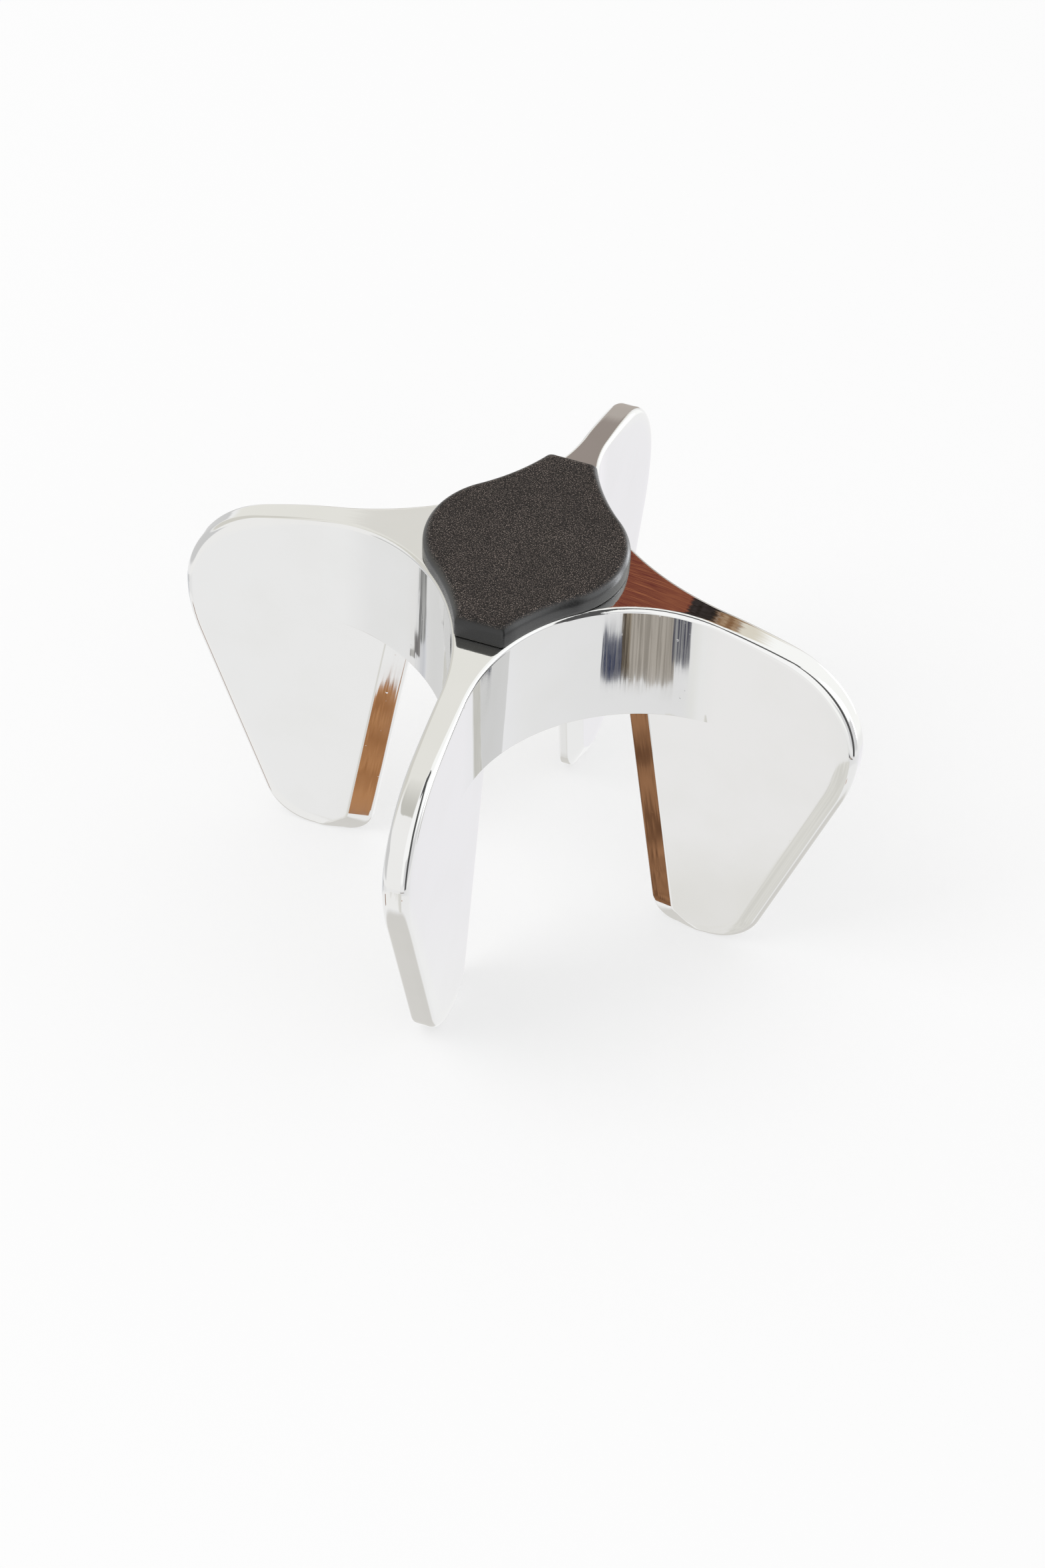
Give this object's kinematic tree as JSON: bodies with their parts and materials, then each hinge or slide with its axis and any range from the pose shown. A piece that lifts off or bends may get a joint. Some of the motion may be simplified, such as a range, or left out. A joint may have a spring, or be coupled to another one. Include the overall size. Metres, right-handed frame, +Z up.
{
  "type": "sparkling wine cork opener",
  "caption": "Rigid star of upright wings with a concave-walled hub that grips and turns a sparkling wine cork, topped by a moulded cap.",
  "frame": {"origin": "on the table, midway between the feet, under the middle of the hub", "axes": "+Z up through the hub and the cap; the cap's two tabs lie along Y and its two lobes along X"},
  "size_m": [0.071, 0.071, 0.0453],
  "materials": {
    "polished_chrome": "polished",
    "grained_black_plastic": "fine grain, matt",
    "zinc_plated_steel": "zinc plated",
    "washer_steel": "plain"
  },
  "bodies": {
    "root": {"grip_star": "polished_chrome", "top_cap": "grained_black_plastic", "cap_screw": "zinc_plated_steel", "screw_washer": "washer_steel"}
  },
  "joints": []
}
